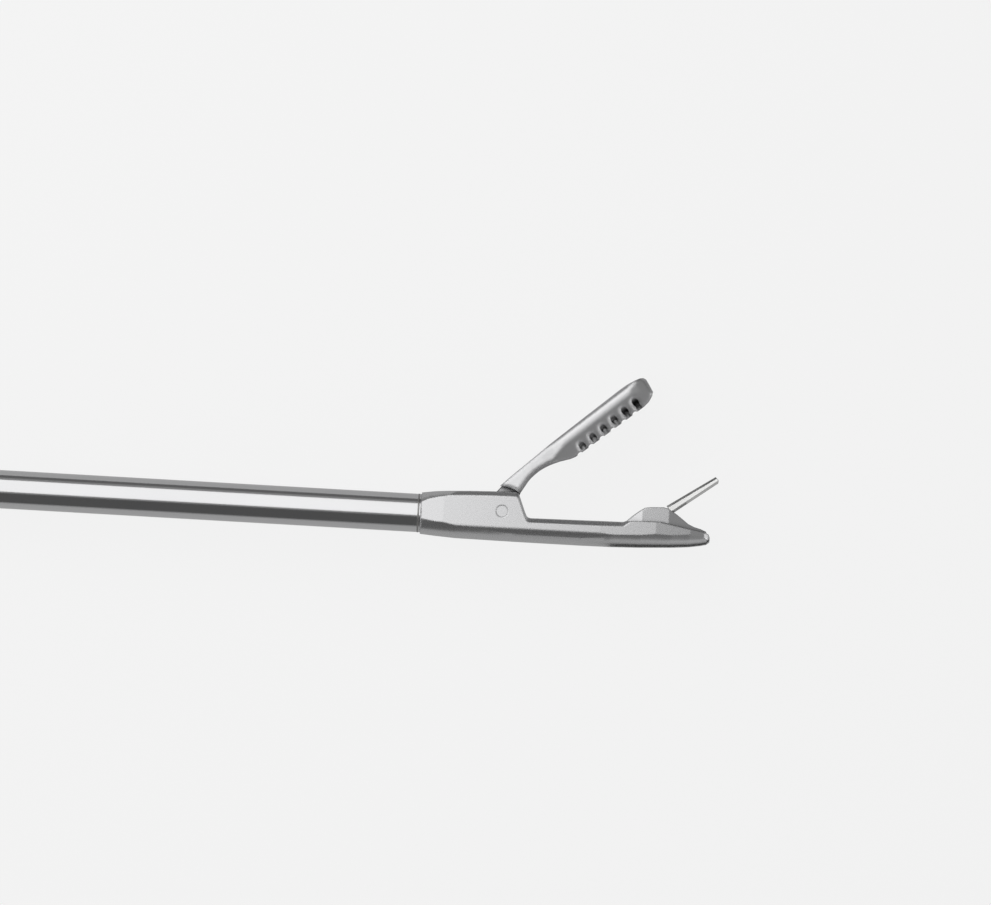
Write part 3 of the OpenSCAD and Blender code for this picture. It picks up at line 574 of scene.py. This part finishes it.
class PASSER_OT_stage(bpy.types.Operator):
    """Lays the floor and sets up lamps, world and camera"""
    bl_idname = "passer.stage"
    bl_label = "Stage"

    def execute(self, context):
        self.floor()
        self.lamps()
        self.world()
        self.camera()
        context.scene.view_settings.view_transform = "Standard"
        return {"FINISHED"}

    def floor(self):
        # Seamless matt paper: even and pale, keeps a soft shadow
        backdrop = tuple(colours().backdrop)
        material, tree = new_material("seamless_paper")
        path = add_node(tree, "ShaderNodeLightPath")
        seen = add_node(tree, "ShaderNodeMath", {"operation": "MAXIMUM"}, {
            0: path.outputs["Is Camera Ray"], 1: path.outputs["Is Transmission Ray"],
        })
        share = add_node(tree, "ShaderNodeMath", {"operation": "MULTIPLY"}, {
            0: seen.outputs["Value"], 1: PAPER_SHARE,
        })
        mirrored = add_node(tree, "ShaderNodeMath", {"operation": "MULTIPLY"}, {
            0: path.outputs["Is Glossy Ray"], 1: MIRROR_SHARE,
        })
        place = add_node(tree, "ShaderNodeTexCoord")
        fibre = add_node(tree, "ShaderNodeTexNoise", {}, {
            "Vector": place.outputs["Object"], "Scale": 1 / (MM * 0.8), "Detail": 3.0,
        })
        bump = add_node(tree, "ShaderNodeBump", {}, {
            "Strength": 0.2, "Distance": 0.02 * MM, "Height": fibre.outputs["Fac"],
        })
        paper = add_node(tree, "ShaderNodeBsdfDiffuse", {}, {
            "Color": backdrop, "Normal": bump.outputs["Normal"],
        })
        even = add_node(tree, "ShaderNodeEmission", {}, {
            "Color": backdrop, "Strength": PAPER_LEVEL,
        })
        # What metal mirrors of the paper: painted shadow makes it dimmer round the jaws than by
        # the handle
        along = add_node(tree, "ShaderNodeSeparateXYZ", {}, {"Vector": place.outputs["Object"]})
        level = add_node(tree, "ShaderNodeMapRange", {}, {
            "Value": along.outputs["X"],
            "From Min": MIRROR_FROM_X, "From Max": MIRROR_TO_X,
            "To Min": MIRROR_BY_HANDLE, "To Max": MIRROR_BY_JAWS,
        })
        low = add_node(tree, "ShaderNodeEmission", {}, {
            "Color": backdrop, "Strength": level.outputs["Result"],
        })
        mixed = add_node(tree, "ShaderNodeMixShader", {}, {
            0: share.outputs["Value"], 1: paper.outputs["BSDF"], 2: even.outputs["Emission"],
        })
        mixed = add_node(tree, "ShaderNodeMixShader", {}, {
            0: mirrored.outputs["Value"], 1: mixed.outputs["Shader"], 2: low.outputs["Emission"],
        })
        add_node(tree, "ShaderNodeOutputMaterial", {}, {"Surface": mixed.outputs["Shader"]})
        size = sizes().floor_size / 2
        mesh = bpy.data.meshes.new("floor")
        corners = [(-size, -size, 0), (size, -size, 0), (size, size, 0), (-size, size, 0)]
        mesh.from_pydata(corners, [], [(0, 1, 2, 3)])
        mesh.materials.append(material)
        plane = bpy.data.objects.new("floor", mesh)
        bpy.context.scene.collection.objects.link(plane)
        plane.location = (PICTURE_CENTRE.x, PICTURE_CENTRE.y, 0.0)

    def lamps(self):
        # Low broad box over the shaft: its right edge stands over the jaws, so that their
        # flats grade from white to grey, and its -Y edge stands just short of the axis
        flat_box("overhead_box", (-0.42, 0.214), BOX_Y, BOX_HEIGHT, BOX_LEVEL)
        # A weaker box carries on over the tip, and a bright one over the needle's end
        flat_box("tip_box", (0.214, 0.229), BOX_Y, BOX_HEIGHT, TIP_LEVEL)
        flat_box("needle_box", (0.229, 0.246), BOX_Y, BOX_HEIGHT, NEEDLE_LEVEL)
        # Low fill from the tip's side
        soft_box("tip_fill", toward(-40.0, 72.0, 1.0), PICTURE_CENTRE, 0.5, 0.5, 1.2)
        # Dark cloth on the -Y side, from beside the box down to the floor
        cloth = glow("dark_cloth", "FFFFFF", CLOTH_LEVEL)
        quad("dark_cloth", [(0.06, -0.077, BOX_HEIGHT), (0.274, -0.077, BOX_HEIGHT),
                            (0.222, -0.5, 0.07), (0.06, -0.5, 0.07)], cloth)
        # Low panel beyond the cloth, toward the tip
        panel = glow("low_panel", "FFFFFF", PANEL_LEVEL)
        quad("low_panel", [(0.21, -0.5, 0.0005), (0.75, -0.35, 0.0005),
                           (0.75, -0.35, 0.2), (0.21, -0.5, 0.2)], panel)
        # Black strip along the floor on the +Y side
        strip = glow("black_strip", "FFFFFF", STRIP_LEVEL)
        quad("black_strip", [(0.1, 0.07, 0.0005), (0.4, 0.07, 0.0005),
                             (0.4, 0.07, 0.026), (0.1, 0.07, 0.026)], strip)
        # Painted shadow: a dark sheet on the floor beside the nose, which only the metal mirrors,
        # so that the nose's lower edge shows the shadow under it
        nose_shadow = glow("nose_shadow_sheet", "FFFFFF", NOSE_SHADOW_LEVEL)
        quad("nose_shadow_sheet", [(0.2185, -0.022, 0.0006), (0.25, -0.022, 0.0006),
                           (0.25, -0.006, 0.0006), (0.2185, -0.006, 0.0006)], nose_shadow)
        # Two fills beyond the handle, out of the shaft's reflections
        for side in (-1, 1):
            centre = Vector((-0.3, side * 0.6, 0.35))
            soft_box("handle_fill", centre, Vector((0.0, 0.0, 0.0)), 0.6, 0.5, 0.5)

    def world(self):
        world = bpy.data.worlds.new("studio")
        bpy.context.scene.world = world
        world.use_nodes = True
        tree = world.node_tree
        tree.nodes.clear()
        path = add_node(tree, "ShaderNodeLightPath")
        dim = add_node(tree, "ShaderNodeBackground", {}, {
            "Color": from_hex("FFFFFF"), "Strength": WORLD_LEVEL,
        })
        seen = add_node(tree, "ShaderNodeBackground", {}, {
            "Color": tuple(colours().backdrop), "Strength": 1.0,
        })
        mixed = add_node(tree, "ShaderNodeMixShader", {}, {
            0: path.outputs["Is Camera Ray"],
            1: dim.outputs["Background"], 2: seen.outputs["Background"],
        })
        add_node(tree, "ShaderNodeOutputWorld", {}, {"Surface": mixed.outputs["Shader"]})

    def camera(self):
        data = bpy.data.cameras.new("camera")
        data.lens = LENS_MM
        data.sensor_width = SENSOR_MM
        data.clip_start = 0.01
        data.clip_end = 50.0
        holder = bpy.data.objects.new("camera", data)
        bpy.context.scene.collection.objects.link(holder)
        distance = sizes().frame_width / SENSOR_MM * LENS_MM
        holder.location = PICTURE_CENTRE + Vector((0.0, 0.0, distance))
        holder.rotation_euler = (0.0, 0.0, sizes().camera_turn)
        bpy.context.scene.camera = holder


class PASSER_PT_panel(bpy.types.Panel):
    """Lists the pieces, sizes and colours"""
    bl_label = "Suture passer"
    bl_idname = "PASSER_PT_panel"
    bl_space_type = "VIEW_3D"
    bl_region_type = "UI"
    bl_category = "Passer"

    def draw(self, context):
        layout = self.layout
        for operator in OPERATORS:
            layout.operator(operator.bl_idname)
        for group in (context.scene.passer_sizes, context.scene.passer_colours):
            box = layout.box()
            for name in group.bl_rna.properties.keys():
                if name not in ("rna_type", "name"):
                    box.prop(group, name)


OPERATORS = (
    PASSER_OT_shaft,
    PASSER_OT_lower_jaw,
    PASSER_OT_upper_jaw,
    PASSER_OT_needle,
    PASSER_OT_drive,
    PASSER_OT_slider,
    PASSER_OT_handle,
    PASSER_OT_lever,
    PASSER_OT_stage,
)
CLASSES = (PasserSizes, PasserColours, *OPERATORS, PASSER_PT_panel)


def register():
    for part in CLASSES:
        bpy.utils.register_class(part)
    bpy.types.Scene.passer_sizes = bpy.props.PointerProperty(type=PasserSizes)
    bpy.types.Scene.passer_colours = bpy.props.PointerProperty(type=PasserColours)


def unregister():
    del bpy.types.Scene.passer_colours
    del bpy.types.Scene.passer_sizes
    for part in reversed(CLASSES):
        bpy.utils.unregister_class(part)


def main():
    register()
    for operator in OPERATORS:
        group, name = operator.bl_idname.split(".")
        getattr(getattr(bpy.ops, group), name)()


if __name__ == "__main__":
    main()
